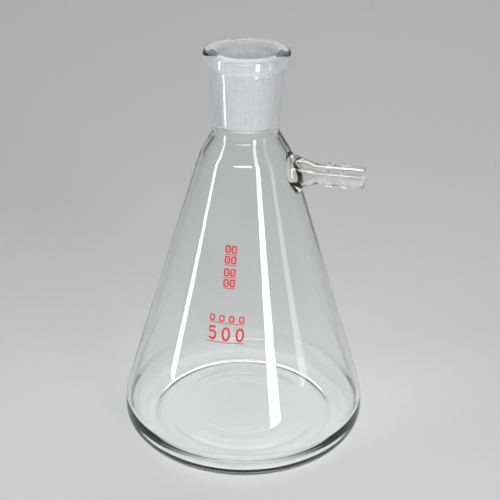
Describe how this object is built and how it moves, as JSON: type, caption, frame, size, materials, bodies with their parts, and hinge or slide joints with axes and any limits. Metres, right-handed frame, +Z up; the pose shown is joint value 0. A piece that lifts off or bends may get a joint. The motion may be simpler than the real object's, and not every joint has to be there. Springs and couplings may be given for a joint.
{
  "type": "buchner filter flask",
  "caption": "Conical glass filter flask with a ground taper socket at the top and a side arm with a barbed hose nozzle.",
  "frame": {"origin": "on the flask's axis, in the plane that its foot stands on", "axes": "+Z up along the flask's axis, +X out along the side arm; the red marks face -Y"},
  "size_m": [0.108, 0.108, 0.174],
  "materials": {
    "clear_glass": "clear fire-polished borosilicate",
    "ground_glass": "ground bore, frosted, with a clear fire-polished bead",
    "red_enamel": "thin fired enamel, satin"
  },
  "bodies": {
    "root": {"conical_body": "clear_glass", "ground_socket": "ground_glass", "side_arm": "clear_glass", "hose_nozzle": "clear_glass", "capacity_mark": "red_enamel", "glass_mark": "red_enamel", "joint_mark_1": "red_enamel", "joint_mark_2": "red_enamel", "joint_mark_3": "red_enamel", "joint_mark_4": "red_enamel"}
  },
  "joints": []
}
